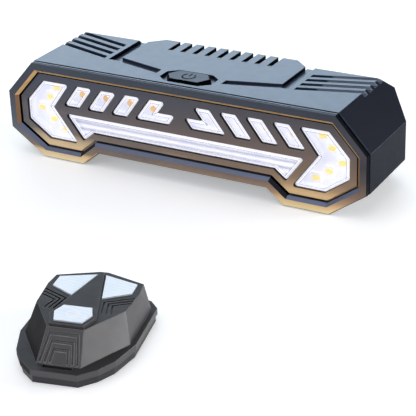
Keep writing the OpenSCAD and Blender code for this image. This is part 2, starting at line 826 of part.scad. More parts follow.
// Five light packages along the arrow window, each at height z and a share of the way across it
function across(a, b, z) = a[0] + (b[0] - a[0]) * (z - a[1]) / (b[1] - a[1]);
function arrow_side(z) =
    z < window_in[3][1] ? across(window_in[2], window_in[3], z)
    : z < window_in[4][1] ? window_in[3][0]
    : across(window_in[4], window_in[5], z);
function arrow_led(z, share) =
    let (x = arrow_notch_x - slant * abs(z - notch_z)) [x + share * (arrow_side(z) - x), z];
arrow_leds = [
    arrow_led(window_top - 2.9, 0.423), arrow_led(window_top - 6.2, 0.432), arrow_led(notch_z - 2.2, 0.701),
    arrow_led(notch_z - 5.4, 0.458), arrow_led(window_margin + 2.8, 0.347)
];
module turn_leds_right() { color("gold") lamp() for (p = arrow_leds) led(p[0], p[1], led_w); }
module turn_leds_left() {
    color("gold") lamp() mirror([1, 0, 0]) for (p = arrow_leds) led(p[0], p[1], led_w);
}
module sequence_leds() {
    mid_z = (window_top + seq_z) / 2;
    color("orange") lamp() both_sides() {
        for (k = [0:seq_used])
            translate([first_window_x - k * window_pitch - seq_w / 2 + slant * seq_h / 2, 0, mid_z])
                rotate([0, -atan(slant), 0]) led(0, k < seq_used ? 0 : -0.6, seq_led_w);
    }
}
module brake_leds() {
    color("red") lamp() for (k = [0:brake_leds - 1])
        led((k - (brake_leds - 1) / 2) * brake_pitch, (belly_z + bar_margin + bar_top_z) / 2, led_w);
}
module board_screws() {
    color("silver") lamp() both_sides() for (p = posts) {
        rod_y(p[0], p[1], flange_y + 0.4, board_back + eps, board_screw_r);
        rod_y(p[0], p[1], board_back, board_back + screw_head_t, screw_head_r);
    }
}
// A package of size w by h and thickness t behind the light board, with its lower corner at x, z
module behind_board(x, z, w, h, t) { block([x, board_back, z], [x + w, board_back + t, z + h]); }
module control_chip() {
    color("dimgray") lamp() behind_board(chip_x, chip_z, chip_w, chip_w, chip_t);
}
module radio_module() {
    color("darkgreen") lamp() union() {
        behind_board(radio_x, radio_z, radio_w, radio_h, radio_t);
        behind_board(
            radio_x + shield_inset, radio_z + shield_inset, radio_w - shield_inset - antenna_w,
            radio_h - shield_inset - shield_gap, shield_t
        );
    }
}
module driver_chips() {
    color("dimgray") lamp() both_sides() {
        behind_board(driver_x, driver_z, driver_w, driver_h, driver_t);
        behind_board(driver_x + driver_w + coil_gap, driver_z, coil_w, driver_h, driver_t);
    }
}
module power_switch() {
    color("silver") lamp() difference() {
        block(
            [-switch_w / 2, board_back, switch_top - switch_h],
            [switch_w / 2, board_back + switch_d, switch_top]
        );
        rod_z([0, stem_y], switch_top - 3.3, switch_top + 1, plunger_r + 0.1);
    }
}
module switch_plunger() {
    color("ivory") lamp() rod_z([0, stem_y], switch_top - 2.4, plunger_top, plunger_r);
}
module power_button() {
    cap = moved(cap_outline, [0, button_y]);
    cap_top = body_h + button_rise;
    cap_h = cap_top - flange_top + 1;
    color("slategray") lamp() union() {
        intersection() {
            plate(cap, flange_top - eps, cap_top);
            rotate([-90, 0, 0])
                loft(inset(cap, button_bevel), -cap_top, inset(cap, button_bevel - cap_h), cap_h - cap_top);
        }
        plate(moved(button_flange, [0, button_y]), flange_bottom, flange_top);
        rod_z([0, stem_y], plunger_top, flange_bottom + eps, stem_r);
    }
}
module button_seal() {
    color("black") lamp() difference() {
        plate(moved(inset(collar_in, fit), [0, button_y]), seal_top - button_seal_t, seal_top);
        rod_z([0, stem_y], seal_top - 2, seal_top + 1, stem_r + 0.3);
    }
}

// Battery, its contacts, tray, pad and leads
module battery_cell() {
    color("royalblue") lamp() translate([-cell_l / 2, cell_y, cell_z])
        rotate([0, 90, 0]) cylinder(r = cell_r, h = cell_l);
}
module battery_contacts() {
    color("silver") lamp() both_sides() translate([0, cell_y, cell_z]) {
        translate([cell_l / 2 + press, 0, 0]) rotate([0, 90, 0])
            cylinder(r = contact_r, h = tray_end - cell_l / 2 - contact_t);
        block(
            [tray_end - contact_t, -contact_half, -contact_half],
            [tray_end - press, contact_half, contact_half]
        );
    }
}
module battery_tray() {
    tray_top = cell_z + cell_r - 0.2;
    color("dimgray") lamp() difference() {
        union() {
            notched(tray_y, tray_y + tray_t)
                block([-tray_half, tray_y, floor_z + fit], [tray_half, tray_y + tray_t, tray_top]);
            both_sides() {
                block([tray_end, tray_y + eps, saddle_z], [tray_half, cell_y + cell_r - 0.6, tray_top]);
                // Saddle under the cell
                difference() {
                    block([saddle_x, tray_y + eps, saddle_z], [saddle_x + saddle_w, cell_y, cell_z - pad_h]);
                    translate([saddle_x - 1, cell_y, cell_z]) rotate([0, 90, 0])
                        cylinder(r = cell_r + slip, h = saddle_w + 2);
                }
            }
        }
        block([-5.5, tray_y - 1, floor_z - 1], [5.5, tray_y + 3, floor_z + 3]);
        both_sides() rod_y(lead_x, lead_z, tray_y - 1, tray_y + 3, lead_r + 0.2);
    }
}
module battery_pad() {
    color("gray") lamp()
        block(
            [-pad_half, cell_y + cell_r + fit, cell_z - pad_h],
            [pad_half, cover_y - fit, cell_z + pad_h]
        );
}
module battery_leads() {
    color("crimson") lamp() both_sides()
        rod_y(lead_x, lead_z, board_back + fit, cell_y - 3, lead_r);
}
module charge_board() {
    color("darkgreen") lamp()
        block([-charge_w / 2, charge_y, charge_z], [charge_w / 2, charge_y + charge_l, charge_z + charge_t]);
}
module charge_chip() {
    chip_z = charge_z + charge_t;
    color("dimgray") lamp() block([-9.5, charge_y + 5.5, chip_z], [-6, charge_y + 9.5, chip_z + 1.2]);
}
module usb_socket() {
    color("silver") lamp() difference() {
        block([-usb_w / 2, usb_front - usb_l, usb_z - usb_h / 2], [usb_w / 2, usb_front, usb_z + usb_h / 2]);
        block(
            [-usb_w / 2 + 0.35, usb_front - 5.6, usb_z - 1.25],
            [usb_w / 2 - 0.35, usb_front + 1, usb_z + 1.25]
        );
    }
}
module charge_leads() {
    color("crimson") lamp() both_sides()
        rod_y(3, charge_z + 0.5, board_back + fit, charge_y - fit, 0.5);
}

// Rear cover, its seal, screws, inserts and flap
module rear_seal() {
    color("black") lamp() difference() {
        slab(inset(cover_outline, 0.2), seal_y + press, cover_y - press);
        slab(inset(cover_outline, 1.3), seal_y - 1, cover_y + 1);
    }
}
module rear_cover() {
    boss_front = body_d - insert_l - 0.6;
    color("dimgray") lamp() difference() {
        union() {
            slab(cover_outline, cover_y, body_d);
            both_sides() rod_y(mount_spacing / 2, insert_z, boss_front, cover_y + eps, insert_boss_r);
        }
        both_sides() rod_y(mount_spacing / 2, insert_z, body_d - insert_l, body_d + 1, insert_r + press);
        for (p = cover_screws) {
            rod_y(p[0], p[1], cover_y - 1, body_d + 1, cover_screw_r + fit);
            rod_y(p[0], p[1], body_d - cover_head_t - fit, body_d + 1, cover_head_r + fit);
        }
        block(
            [-flap_w / 2 - slip, body_d - flap_pocket, usb_z - flap_h / 2 - slip],
            [flap_w / 2 + slip, body_d + 1, flap_axis_z + barrel_r + slip]
        );
        block([-usb_w / 2 - 0.25, cover_y - 1, usb_z - usb_h / 2 - 0.25],
            [usb_w / 2 + 0.25, body_d, usb_z + usb_h / 2 + 0.25]);
    }
}
module rear_screws() {
    color("silver") lamp() for (p = cover_screws) difference() {
        union() {
            rod_y(p[0], p[1], ledge_y - boss_l + 1.6, body_d - cover_head_t, cover_screw_r);
            rod_y(p[0], p[1], body_d - cover_head_t, body_d - fit, cover_head_r);
        }
        block([p[0] - 1.4, body_d - 0.7, p[1] - 0.3], [p[0] + 1.4, body_d + 1, p[1] + 0.3]);
        block([p[0] - 0.3, body_d - 0.7, p[1] - 1.4], [p[0] + 0.3, body_d + 1, p[1] + 1.4]);
    }
}
module mount_inserts() {
    color("gold") lamp() both_sides() difference() {
        rod_y(mount_spacing / 2, insert_z, body_d - insert_l + fit, body_d, insert_r);
        rod_y(mount_spacing / 2, insert_z, body_d - insert_l - 1, body_d + 1, insert_bore_r);
    }
}
module usb_flap() {
    plug_w = usb_w - 1.2;
    flap_y = body_d - fit / 2 - flap_t;
    color("black") lamp() union() {
        block([-flap_w / 2, flap_y, usb_z - flap_h / 2], [flap_w / 2, flap_y + flap_t, flap_axis_z]);
        translate([-flap_w / 2, flap_axis_y, flap_axis_z]) rotate([0, 90, 0])
            cylinder(r = barrel_r, h = flap_w);
        block([-plug_w / 2, usb_front + fit, usb_z - 1.2], [plug_w / 2, flap_y + eps, usb_z + 1.2]);
    }
}

// Remote base and cover
module dome(drop) {
    hull() {
        plate(inset(dome_foot, drop), brim_z - drop - 1, brim_z - drop);
        plate(inset(deck_outline, drop), deck_z - drop - eps, deck_z - drop);
    }
}
module groove_set() {
    for (k = [0:groove_count - 1]) {
        shift = k * groove_pitch;
        side_line = [
            side_groove[0] + [shift, 0], side_groove[1] + [shift, -0.45 * shift],
            side_groove[2] + [0, -shift]
        ];
        tail_line = [
            tail_groove[0] + [shift, 0], tail_groove[1] + [0.7 * shift, -shift],
            tail_groove[2] + [-0.7 * shift, -shift], tail_groove[3] + [-shift, 0]
        ];
        both_sides() plate(strip(side_line, groove_w), 0, deck_z + 2);
        plate(strip(tail_line, groove_w), 0, deck_z + 2);
    }
}
module remote_shell() {
    difference() {
        union() {
            plate(brim_outline, base_t, brim_z);
            dome(0);
        }
        difference() {
            groove_set();
            translate([0, 0, -groove_depth]) dome(0);
            plate(brim_outline, base_t, brim_z);
        }
    }
}
module remote_room() {
    hull() {
        plate(inset(dome_foot, dome_wall), base_t - 1, brim_z - 0.4);
        plate(inset(deck_outline, dome_wall), roof_z - eps, roof_z);
    }
}
module remote_cover() {
    color("dimgray") remote() difference() {
        union() {
            difference() {
                union() {
                    remote_shell();
                    plate(blade_outline, deck_z - 1, deck_z + blade_rise);
                }
                remote_room();
            }
            intersection() {
                for (p = remote_posts) rod_z(p, base_t, 7.2, remote_post_r);
                union() {
                    plate(brim_outline, base_t, brim_z);
                    dome(0);
                }
            }
        }
        both_sides() plate(inset(key_window, -slip), roof_z - 1, deck_z + 2);
        plate(inset(mode_window, -slip), roof_z - 1, deck_z + 2);
        block([-strap_w / 2, strap_y, -1], [strap_w / 2, strap_y + strap_t, brim_z + 1]);
        for (p = remote_posts) rod_z(p, base_t - 1, base_t + 3.4, remote_screw_r + press);
    }
}
module remote_base() {
    color("black") remote() difference() {
        plate(base_outline, 0, base_t);
        rod_z([0, coin_y], -1, door_seat, door_r + fit);
        rod_z([0, coin_y], -1, base_t + 1, coin_d / 2 + 0.3);
        block([-strap_w / 2, strap_y, -1], [strap_w / 2, strap_y + strap_t, base_t + 1]);
        for (p = remote_posts) {
            rod_z(p, -1, base_t + 1, remote_screw_r + fit);
            rod_z(p, -1, remote_head_t + fit, remote_head_r + fit);
        }
    }
}

// Remote keys, with a flange under the cover and a stem down to the switch
module key(window, spot, top) {
    plate(window, key_cap_z - eps, top);
    plate(inset(window, -key_flange), key_cap_z - key_flange_t, key_cap_z);
    rod_z(spot, stem_end, key_cap_z - key_flange_t + eps, 1);
}
module remote_key_right() { color("aliceblue") remote() key(key_window, key_spots[0], deck_z + key_rise); }
module remote_key_left() {
    color("aliceblue") remote() mirror([1, 0, 0]) key(key_window, key_spots[0], deck_z + key_rise);
}
module remote_key_mode() {
    color("aliceblue") remote() key(mode_window, key_spots[2], deck_z + blade_rise + key_rise);
}
module remote_plunger(k) {
    color("ivory") remote()
        rod_z(key_spots[k], remote_board_top + remote_switch_h - plunger_reach, stem_end, 0.7);
}
module remote_plunger_right() { remote_plunger(0); }
module remote_plunger_left() { remote_plunger(1); }
module remote_plunger_mode() { remote_plunger(2); }
module remote_switches() {
    half = remote_switch_w / 2;
    color("silver") remote() for (p = key_spots) difference() {
        translate([p[0], p[1], remote_board_top])
            block([-half, -half, 0], [half, half, remote_switch_h]);
        rod_z(p, remote_board_top + 0.4, remote_board_top + 3, 0.8);
    }
}
module remote_board() {
    color("darkgreen") remote() difference() {
        plate(remote_board_outline, remote_board_z, remote_board_top);
        for (p = remote_posts) rod_z(p, remote_board_z - 1, remote_board_top + 1, remote_post_r + slip);
    }
}
module remote_chip() {
    color("dimgray") remote() block([-2.5, 1.6, remote_board_top], [2.5, 6.6, remote_board_top + 1]);
}
module remote_leds() {
    color("white") remote() both_sides()
        block([3, 8.4, remote_board_top], [4.6, 9.2, remote_board_top + 0.5]);
}
module remote_coin_cell() {
    color("silver") remote() rod_z([0, coin_y], coin_z, coin_z + coin_t, coin_d / 2);
}
module remote_cell_clips() {
    clip_x = coin_d / 2 + 0.25;
    color("gold") remote() both_sides() {
        block([clip_x, coin_y - 2, base_t + 0.3], [clip_x + 0.3, coin_y + 2, remote_board_z]);
    }
}
module remote_battery_door() {
    color("black") remote() difference() {
        rod_z([0, coin_y], door_z, door_z + door_t, door_r);
        block([-4, coin_y - 0.6, -1], [4, coin_y + 0.6, door_z + 0.5]);
    }
}
module remote_door_seal() {
    color("red") remote() difference() {
        rod_z([0, coin_y], door_z + door_t + press, door_seat - press, door_r - 0.2);
        rod_z([0, coin_y], door_z, door_seat + 1, door_r - 0.9);
    }
}
module remote_screws() {
    color("silver") remote() for (p = remote_posts) {
        rod_z(p, 0.1, remote_head_t, remote_head_r);
        rod_z(p, remote_head_t - eps, base_t + 3, remote_screw_r);
    }
}

housing();
front_bezel();
front_seal();
face_panel();
arrow_lens_left();
arrow_lens_right();
sequence_lenses_left();
sequence_lenses_right();
hook_lenses();
bar_lens();
bar_light_guide();
reflector();
light_board();
turn_leds_left();
turn_leds_right();
sequence_leds();
brake_leds();
board_screws();
control_chip();
radio_module();
driver_chips();
power_switch();
switch_plunger();
power_button();
button_seal();
battery_cell();
battery_contacts();
battery_tray();
battery_pad();
battery_leads();
charge_board();
charge_chip();
usb_socket();
charge_leads();
rear_seal();
rear_cover();
rear_screws();
mount_inserts();
usb_flap();
remote_base();
remote_cover();
remote_key_left();
remote_key_right();
remote_key_mode();
remote_plunger_left();
remote_plunger_right();
remote_plunger_mode();
remote_switches();
remote_board();
remote_chip();
remote_leds();
remote_coin_cell();
remote_cell_clips();
remote_battery_door();
remote_door_seal();
remote_screws();
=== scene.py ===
import math

import bmesh
import bpy
from mathutils import Matrix, Vector


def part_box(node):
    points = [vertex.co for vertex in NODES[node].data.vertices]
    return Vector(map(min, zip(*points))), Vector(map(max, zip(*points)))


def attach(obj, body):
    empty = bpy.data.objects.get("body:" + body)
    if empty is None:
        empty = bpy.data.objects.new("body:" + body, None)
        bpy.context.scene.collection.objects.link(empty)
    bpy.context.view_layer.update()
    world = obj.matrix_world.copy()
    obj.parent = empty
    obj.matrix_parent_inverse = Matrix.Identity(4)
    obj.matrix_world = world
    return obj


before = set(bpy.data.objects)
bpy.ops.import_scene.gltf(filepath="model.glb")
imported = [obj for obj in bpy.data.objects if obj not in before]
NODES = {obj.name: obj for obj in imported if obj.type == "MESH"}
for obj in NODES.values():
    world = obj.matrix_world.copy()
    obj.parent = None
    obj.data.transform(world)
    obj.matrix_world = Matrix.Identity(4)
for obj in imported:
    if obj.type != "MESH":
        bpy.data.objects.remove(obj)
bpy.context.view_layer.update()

# The looks of a bicycle turn signal lamp and its remote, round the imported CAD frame. Metres.
MM = 0.001
LAMP_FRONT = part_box("front_bezel")[0][1]
LAMP_HEIGHT = 30.8 * MM
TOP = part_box("housing")[1][2]
# Where the slots along the rear of the top begin, and how far they reach to either side
REAR_SLOTS_Y = LAMP_FRONT + 26 * MM
REAR_SLOTS_X = 22 * MM
# Where the slots at the right end of the top begin
END_SLOTS_X = 37 * MM
# The black of painted shade in slots, on walls and on sides
NEARLY_BLACK = (3, 3, 4)


def srgb(r, g, b):
    """A colour of 0 to 255 as the eye reads it, as the linear colour that a shader takes."""
    parts = [v / 255 for v in (r, g, b)]
    return tuple(p / 12.92 if p <= 0.04045 else ((p + 0.055) / 1.055) ** 2.4 for p in parts) + (1.0,)


def darker(color, share):
    """A linear colour with only a share of its brightness."""
    return tuple(share * part for part in color[:3]) + (1,)


def top_centre(node):
    """The middle of the top of a CAD node's box."""
    low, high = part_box(node)
    return Vector(((low[0] + high[0]) / 2, (low[1] + high[1]) / 2, high[2]))


# Materials
class Paint:
    """One procedural material, built node by node on a Principled shader."""

    def __init__(self, name, **sockets):
        self.mat = bpy.data.materials.new(name)
        self.mat.use_nodes = True
        self.tree = self.mat.node_tree
        self.tree.nodes.clear()
        self.shader = self.node("ShaderNodeBsdfPrincipled")
        self.link(self.shader.outputs[0], self.node("ShaderNodeOutputMaterial").inputs[0])
        self.place = self.node("ShaderNodeTexCoord").outputs["Object"]
        for key, value in sockets.items():
            self.set(key.replace("_", " "), value)

    def node(self, kind, **settings):
        made = self.tree.nodes.new(kind)
        for key, value in settings.items():
            setattr(made, key, value)
        return made

    def link(self, a, b):
        self.tree.links.new(a, b)

    def feed(self, socket, value):
        if isinstance(value, bpy.types.NodeSocket):
            self.link(value, socket)
        else:
            socket.default_value = value

    def set(self, name, value):
        self.feed(self.shader.inputs[name], value)

    def math(self, kind, a, b=0.0, clamp=False):
        made = self.node("ShaderNodeMath", operation=kind, use_clamp=clamp)
        self.feed(made.inputs[0], a)
        self.feed(made.inputs[1], b)
        return made.outputs[0]

    def times(self, first, *others):
        """The product of all the values."""
        for other in others:
            first = self.math("MULTIPLY", first, other)
        return first

    def largest(self, a, b):
        return self.math("MAXIMUM", a, b)

    def spread(self, value, low, high, to_low=0.0, to_high=1.0):
        """value from low to high as a number from to_low to to_high, and no further."""
        made = self.node("ShaderNodeMapRange")
        self.feed(made.inputs["Value"], value)
        limits = {"From Min": low, "From Max": high, "To Min": to_low, "To Max": to_high}
        for name, number in limits.items():
            made.inputs[name].default_value = number
        return made.outputs["Result"]

    def noise(self, size_mm, detail=3.0, stretch=(1, 1, 1)):
        """Noise whose grains are about size_mm across. Most of it lies between 0.3 and 0.7."""
        grid = self.node("ShaderNodeMapping")
        self.link(self.place, grid.inputs["Vector"])
        grid.inputs["Scale"].default_value = stretch
        made = self.node("ShaderNodeTexNoise")
        self.link(grid.outputs["Vector"], made.inputs["Vector"])
        made.inputs["Scale"].default_value = 1000 / size_mm
        made.inputs["Detail"].default_value = detail
        return made.outputs["Fac"]

    def ramp(self, fac, stops):
        made = self.node("ShaderNodeValToRGB")
        self.feed(made.inputs["Fac"], fac)
        spots = made.color_ramp.elements
        while len(spots) < len(stops):
            spots.new(0.5)
        for spot, (at, color) in zip(spots, stops):
            spot.position, spot.color = at, color
        return made.outputs["Color"]

    def mix(self, fac, a, b, blend="MIX"):
        made = self.node("ShaderNodeMix", data_type="RGBA", blend_type=blend)
        self.feed(made.inputs["Factor"], fac)
        self.feed(made.inputs[6], a)
        self.feed(made.inputs[7], b)
        return made.outputs[2]

    def axis(self, letter, source=None):
        """One coordinate of the point, or of another vector."""
        made = self.node("ShaderNodeSeparateXYZ")
        self.link(source or self.place, made.inputs[0])
        return made.outputs["XYZ".index(letter)]

    def facing(self, letter):
        """How far the surface faces along an axis, from -1 to 1."""
        return self.axis(letter, self.node("ShaderNodeNewGeometry").outputs["Normal"])

    def rounded(self, radius_mm):
        """The normal with edges rounded, and how near an edge the point lies."""
        round_off = self.node("ShaderNodeBevel", samples=6)
        round_off.inputs["Radius"].default_value = radius_mm * MM
        flat = self.node("ShaderNodeNewGeometry").outputs["Normal"]
        dot = self.node("ShaderNodeVectorMath", operation="DOT_PRODUCT")
        self.link(round_off.outputs[0], dot.inputs[0])
        self.link(flat, dot.inputs[1])
        return round_off.outputs[0], self.spread(dot.outputs["Value"], 0.995, 0.9)

    def shelter(self, reach_mm):
        """1 in the open and 0 deep in a groove or gap."""
        made = self.node("ShaderNodeAmbientOcclusion", samples=6)
        made.inputs["Distance"].default_value = reach_mm * MM
        return made.outputs["AO"]

    def relief(self, height, depth_mm, base=None, strength=1.0):
        """The normal of a surface that height raises by up to depth_mm."""
        bump = self.node("ShaderNodeBump")
        bump.inputs["Strength"].default_value = strength
        bump.inputs["Distance"].default_value = depth_mm * MM
        self.link(height, bump.inputs["Height"])
        if base is not None:
            self.link(base, bump.inputs["Normal"])
        return bump.outputs["Normal"]


def moulded(name, color, rough, edge=None, grain=0.16, grain_depth=0.008, mottle=0.04, radius=0.25,
            spread=0.03, painted_shade_reach=None, **sockets):
    """Moulded or coated surface: fine grain, faint mottling, edges lighter from wear and painted
    highlight, grooves darkened with painted shade.

    Lengths are in millimetres. Where color is a function, it gives the colour, how far the surface
    is dead black with painted shade, and how metallic it is. Black parts are metallic too, and so
    reflect next to nothing.
    """
    paint = Paint(name, **sockets)
    normal, near_edge = paint.rounded(radius)
    tone = paint.noise(5, 4)
    black = None
    if callable(color):
        color, black, metallic = color(paint)
    dark = paint.mix(1.0, color, darker((1, 1, 1), 1 - 2 * mottle), "MULTIPLY")
    base = paint.mix(tone, dark, color)
    # Edges lighter, partly from wear and partly as painted highlight; with painted groove shade the
    # highlight keeps to edges that look up
    if edge:
        wear_and_highlight = paint.times(near_edge, paint.spread(paint.noise(2.5, 3), 0.3, 0.6, 0.45, 1.0))
        if painted_shade_reach:
            wear_and_highlight = paint.times(wear_and_highlight, paint.spread(paint.facing("Z"), 0.3, 0.6))
        base = paint.mix(wear_and_highlight, base, edge)
    if painted_shade_reach:
        # Painted shade in the grooves and gaps, darker on the left than on the right, where light falls
        # into them
        groove_shade = paint.spread(paint.shelter(painted_shade_reach), 0.45, 0.8, 0.85, 0.0)
        shaded = paint.spread(paint.axis("X"), 18 * MM, 26 * MM, 1.0, 0.15)
        base = paint.mix(paint.times(groove_shade, shaded), base, srgb(10, 10, 12))
    fine = paint.noise(grain, 2)
    broad = paint.spread(paint.noise(3, 3), 0.3, 0.7, rough - spread, rough + spread)
    roughness = paint.math("ADD", broad, paint.spread(fine, 0.3, 0.7, -0.02, 0.02), clamp=True)
    # Painted shade: nearly black where the colour function asks for it, and rougher there
    if black is not None:
        base = paint.mix(black, base, srgb(*NEARLY_BLACK))
        roughness = paint.math("ADD", roughness, paint.times(black, 0.5), clamp=True)
        paint.set("Metallic", metallic)
    paint.set("Base Color", base)
    paint.set("Roughness", roughness)
    paint.set("Normal", paint.relief(fine, grain_depth, normal, 0.5))
    return paint.mat


def height_ramp(paint, left, right):
    """Colour by height above the floor: bronze at the feet, and slate above, bluer on the left; painted
    reflection of warm light from below and cool light from above.
    """
    height = paint.math("ADD", paint.spread(paint.axis("Z"), 0, LAMP_HEIGHT),
                        paint.spread(paint.noise(14, 2), 0.2, 0.8, -0.02, 0.02), clamp=True)
    across = paint.spread(paint.axis("X"), -50 * MM, 50 * MM)
    return paint.mix(across, paint.ramp(height, left), paint.ramp(height, right))


def at_heights(*rows):
    """The stops of a height ramp, from heights in millimetres and their colours."""
    return [(z * MM / LAMP_HEIGHT, srgb(*color)) for z, color in rows]


# Painted reflection on the lamp's face: the colour at each height, on the left and on the right
BEZEL_LEFT = at_heights(
    (0.6, (255, 236, 192)), (2.4, (240, 206, 154)), (3.6, (132, 114, 102)), (6.7, (108, 106, 110)),
    (11.7, (82, 88, 100)), (16.5, (74, 78, 92)), (22, (60, 64, 76)), (30, (58, 66, 78)))
BEZEL_RIGHT = at_heights(
    (0.6, (255, 232, 176)), (2.4, (230, 192, 140)), (3.8, (186, 152, 118)), (6.7, (134, 108, 90)),
    (11.7, (86, 78, 74)), (16.5, (58, 54, 60)), (22, (70, 70, 76)), (30, (54, 60, 72)))
PANEL_LEFT = at_heights(
    (4.6, (240, 210, 162)), (6.6, (206, 182, 152)), (8.9, (118, 110, 106)), (11.7, (98, 98, 104)),
    (15.5, (104, 98, 102)), (19, (78, 78, 86)), (24, (70, 76, 90)), (28, (68, 74, 90)))
PANEL_RIGHT = at_heights(
    (4.6, (236, 198, 144)), (6.6, (186, 152, 114)), (9.2, (150, 124, 100)), (11.7, (136, 112, 90)),
    (15.5, (122, 102, 92)), (19, (110, 98, 92)), (24, (94, 86, 88)), (28, (78, 76, 82)))


def between(paint, value, low, high, soft=0.05):
    """1 where value lies between low and high, and 0 from soft beyond them."""
    return paint.times(paint.spread(value, low - soft, low), paint.spread(value, high + soft, high))


def outward(paint):
    """1 on slopes that look away from the middle of the lamp's face, 0 on those that look into it."""
    across = paint.times(paint.axis("X"), paint.facing("X"))
    rise = paint.math("SUBTRACT", paint.axis("Z"), LAMP_HEIGHT / 2)
    return paint.spread(paint.math("ADD", across, paint.times(rise, paint.facing("Z"))), 0, 1 * MM)


def bezel_color(paint):
    """Painted reflection on the face and on the bevels, bronze low down and slate above, and a slate
    rim behind with painted shade black at the sides.
    """
    face = height_ramp(paint, BEZEL_LEFT, BEZEL_RIGHT)
    # Painted reflection on the bevel inside the bezel: warm bronze where it doesn't look up, brightest
    # where it looks down, and slate where it looks up
    front, up = paint.facing("Y"), paint.facing("Z")
    slope = between(paint, front, -0.85, -0.3)
    warm_reflection = paint.mix(paint.spread(up, -0.1, -0.5), srgb(150, 112, 76), srgb(238, 190, 124))
    bevel = paint.mix(paint.spread(up, 0.15, 0.35), warm_reflection, srgb(104, 114, 138))
    # The rim behind the face is the body's slate, with painted shade black at the sides, also on the
    # outer slopes there
    side = paint.spread(paint.math("ABSOLUTE", paint.facing("X")), 0.3, 0.5)
    rim = srgb(66, 74, 90)
    out = outward(paint)
    # Painted reflection: the outer chamfer is brown where it looks down
    chamfer = paint.mix(paint.spread(up, -0.2, -0.4), rim, srgb(84, 62, 46))
    face = paint.mix(slope, face, paint.mix(out, bevel, chamfer))
    behind = paint.spread(front, -0.15, -0.05)
    black = paint.times(side, paint.largest(behind, paint.times(slope, out, 0.8)))
    return paint.mix(behind, face, rim), black, paint.largest(black, 0.4)


def body_color(paint):
    """Slate, with painted shade darker at the ends and black inside the rear slots, and painted light
    inside the slots at the right end.
    """
    # Painted shade: black inside the rear slots
    middle = paint.spread(paint.math("ABSOLUTE", paint.axis("X")), REAR_SLOTS_X + 0.5 * MM,
                          REAR_SLOTS_X - 0.5 * MM)
    deep = between(paint, paint.axis("Z"), TOP - 3.5 * MM, TOP - 0.25 * MM, 0.1 * MM)
    behind = paint.times(paint.spread(paint.axis("Y"), REAR_SLOTS_Y - 0.5 * MM, REAR_SLOTS_Y),
                         paint.spread(paint.facing("Y"), 0.7, 0.5))
    inside = paint.times(middle, deep, behind)
    side = paint.math("ABSOLUTE", paint.facing("X"))
    # Painted shade: darker on the faces that look to the ends
    ends = paint.mix(paint.spread(side, 0.4, 0.55), srgb(60, 72, 92), srgb(32, 37, 50))
    # Painted light on what looks to the front inside the slots at the right end
    sunk = between(paint, paint.axis("Z"), TOP - 4 * MM, TOP - 0.2 * MM, 0.1 * MM)
    lit = paint.times(paint.spread(paint.facing("Y"), -0.4, -0.6), sunk,
                      paint.spread(paint.axis("X"), END_SLOTS_X, END_SLOTS_X + 1 * MM),
                      paint.spread(paint.axis("Y"), LAMP_FRONT + 5 * MM, LAMP_FRONT + 6 * MM))
    ends = paint.mix(lit, ends, srgb(170, 180, 196))
    # Painted shade: darkest, and half black, on the upright ends
    upright = paint.spread(side, 0.9, 0.97)
    black = paint.largest(inside, paint.times(upright, 0.45))
    metallic = paint.largest(black, paint.spread(upright, 0, 1, 0.5, 1.0))
    return paint.mix(upright, ends, srgb(20, 26, 44)), black, metallic


def button_color(paint):
    """Slate on top, and painted shade nearly black on the bevel round it."""
    top = paint.spread(paint.facing("Z"), 0.9, 0.98)
    black = paint.spread(top, 0, 1, 0.8, 0)
    return paint.mix(top, srgb(16, 18, 23), srgb(25, 34, 52)), black, 1.0


def remote_color(paint):
    """Charcoal whose deck and left flanks are darkened with painted shade, and rougher than the rest.
    """
    # Painted shade on the deck and the left flanks
    deck = paint.spread(paint.facing("Z"), 0.9, 0.98, 0, 0.45)
    left = paint.spread(paint.facing("X"), -0.1, -0.4, 0, 0.7)
    black = paint.largest(deck, left)
    return srgb(48, 46, 49), black, black


def panel_color(paint):
    """Painted reflection on the face, bronze low down and slate above, and painted shade nearly black
    on the walls of the windows.
    """
    # Painted shade: nearly black on the walls of the windows
    black = paint.spread(paint.facing("Y"), -0.6, -0.4, 0, 0.8)
    return height_ramp(paint, PANEL_LEFT, PANEL_RIGHT), black, paint.largest(black, 0.4)


def lens_material():
    """Clear moulded lens, faintly violet, whose bevelled border glows white as painted light, with a
    thin grey line of painted shade inside it.
    """
    paint = Paint("lens_clear", Roughness=0.15, IOR=1.46)
    haze = paint.spread(paint.noise(6, 2), 0.3, 0.7)
    border = between(paint, paint.facing("Y"), -0.9, -0.2)
    normal, near_edge = paint.rounded(0.45)
    # Painted shade: a thin grey line along the edges
    line = paint.spread(near_edge, 0, 0.25, 0, 0.9)
    clear_color = paint.mix(haze, srgb(240, 241, 252), srgb(252, 252, 255))
    paint.set("Base Color", paint.mix(line, clear_color, srgb(118, 118, 150)))
    paint.set("Transmission Weight", paint.spread(paint.largest(border, line), 0, 1, 1.0, 0.2))
    # Painted light: the border glows white, except along the thin line
    paint.set("Emission Color", srgb(252, 252, 255))
    paint.set("Emission Strength", paint.times(border, paint.spread(line, 0, 0.9, 0.42, 0.0)))
    paint.set("Normal", paint.relief(paint.noise(4, 1), 0.02, normal))
    return paint.mat


def glowing(name, color, glow, strength, rough=0.4):
    """Pale plastic or phosphor that glows a little: painted light that brightens the inside of the
    lamp.
    """
    paint = Paint(name, Roughness=rough)
    tone = paint.noise(0.4, 3)
    paint.set("Base Color", paint.mix(tone, color, darker(color, 0.9)))
    paint.set("Emission Color", glow)
    paint.set("Emission Strength", strength)
    paint.set("Normal", paint.relief(tone, 0.01))
    return paint.mat


